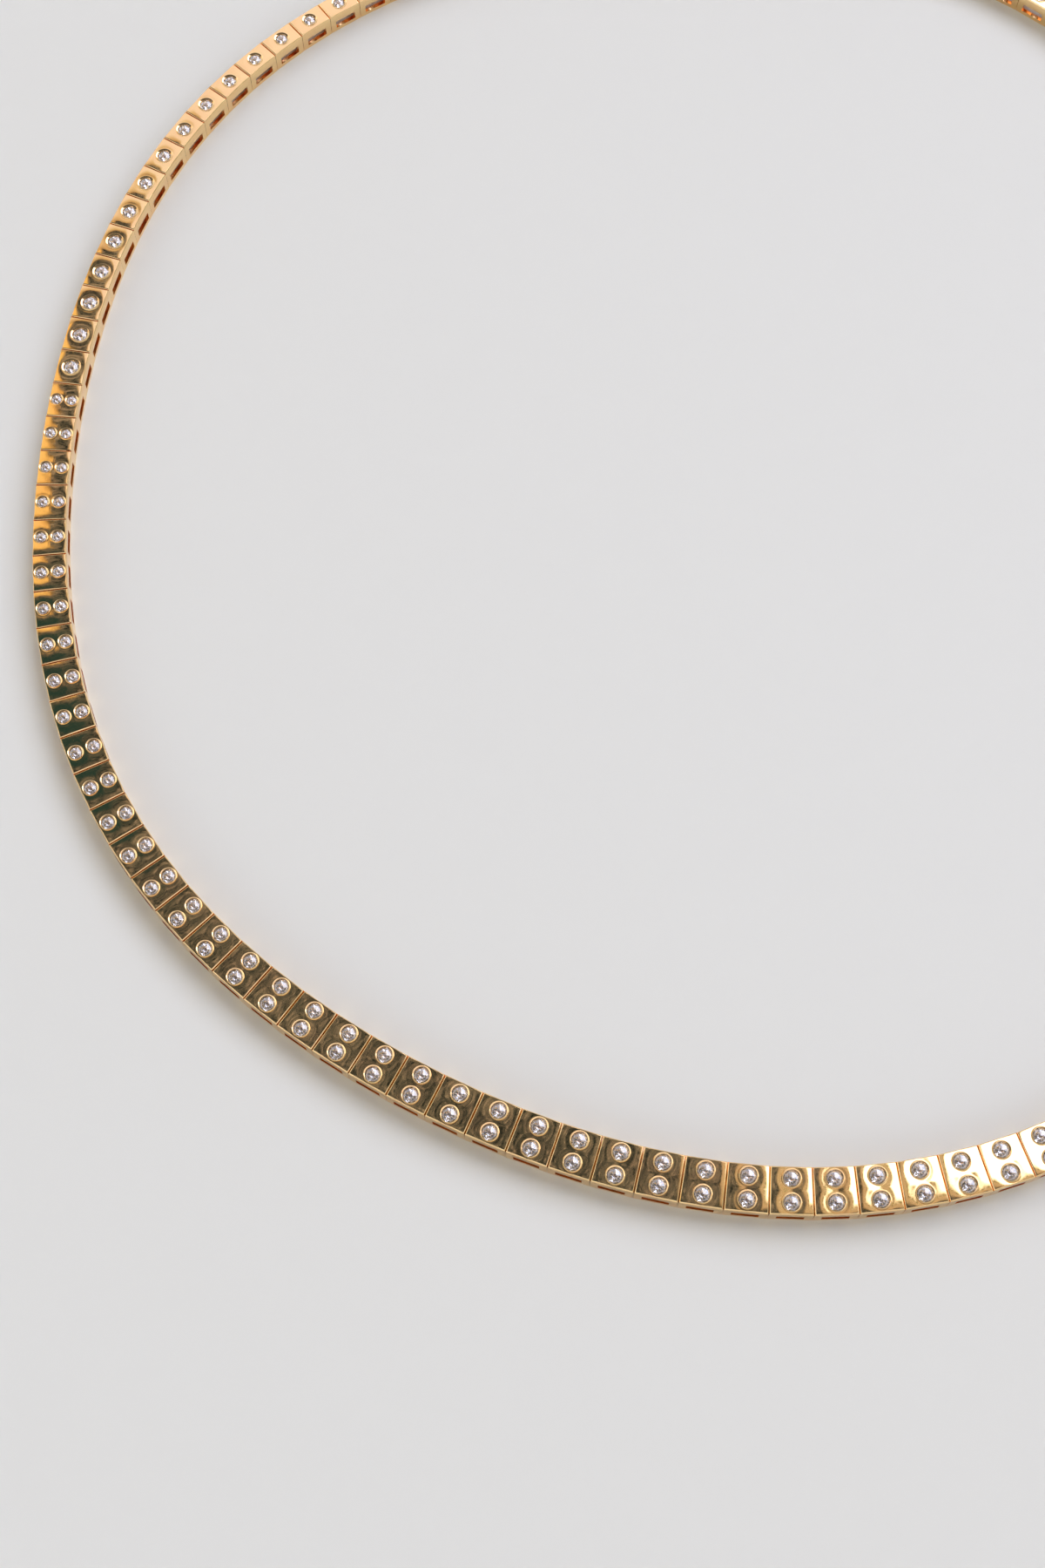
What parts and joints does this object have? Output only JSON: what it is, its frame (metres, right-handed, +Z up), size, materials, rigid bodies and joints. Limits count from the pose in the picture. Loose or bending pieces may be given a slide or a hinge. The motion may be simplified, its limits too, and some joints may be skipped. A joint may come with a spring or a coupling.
{
  "type": "riviere necklace",
  "caption": "Closed riviere necklace of hollow gold box links with flush-set round diamonds, paired at the front and single towards the clasp, lying flat in a loop.",
  "frame": {"origin": "centre of the loop's bounding box, on the surface that the necklace lies on", "axes": "+Z up out of the surface; -Y to the front of the necklace, which is worn at the throat; +Y to the clasp; +X to the right seen from the front"},
  "size_m": [0.1374, 0.1424, 0.0025],
  "materials": {
    "gold": "mirror-polished 18 carat yellow gold",
    "diamond": "polished round brilliant, near colourless"
  },
  "bodies": {
    "root": {"paired_links_chain": "gold", "single_links_chain": "gold", "box_clasp": "gold", "paired_diamonds": "diamond", "single_diamonds": "diamond"}
  },
  "joints": []
}
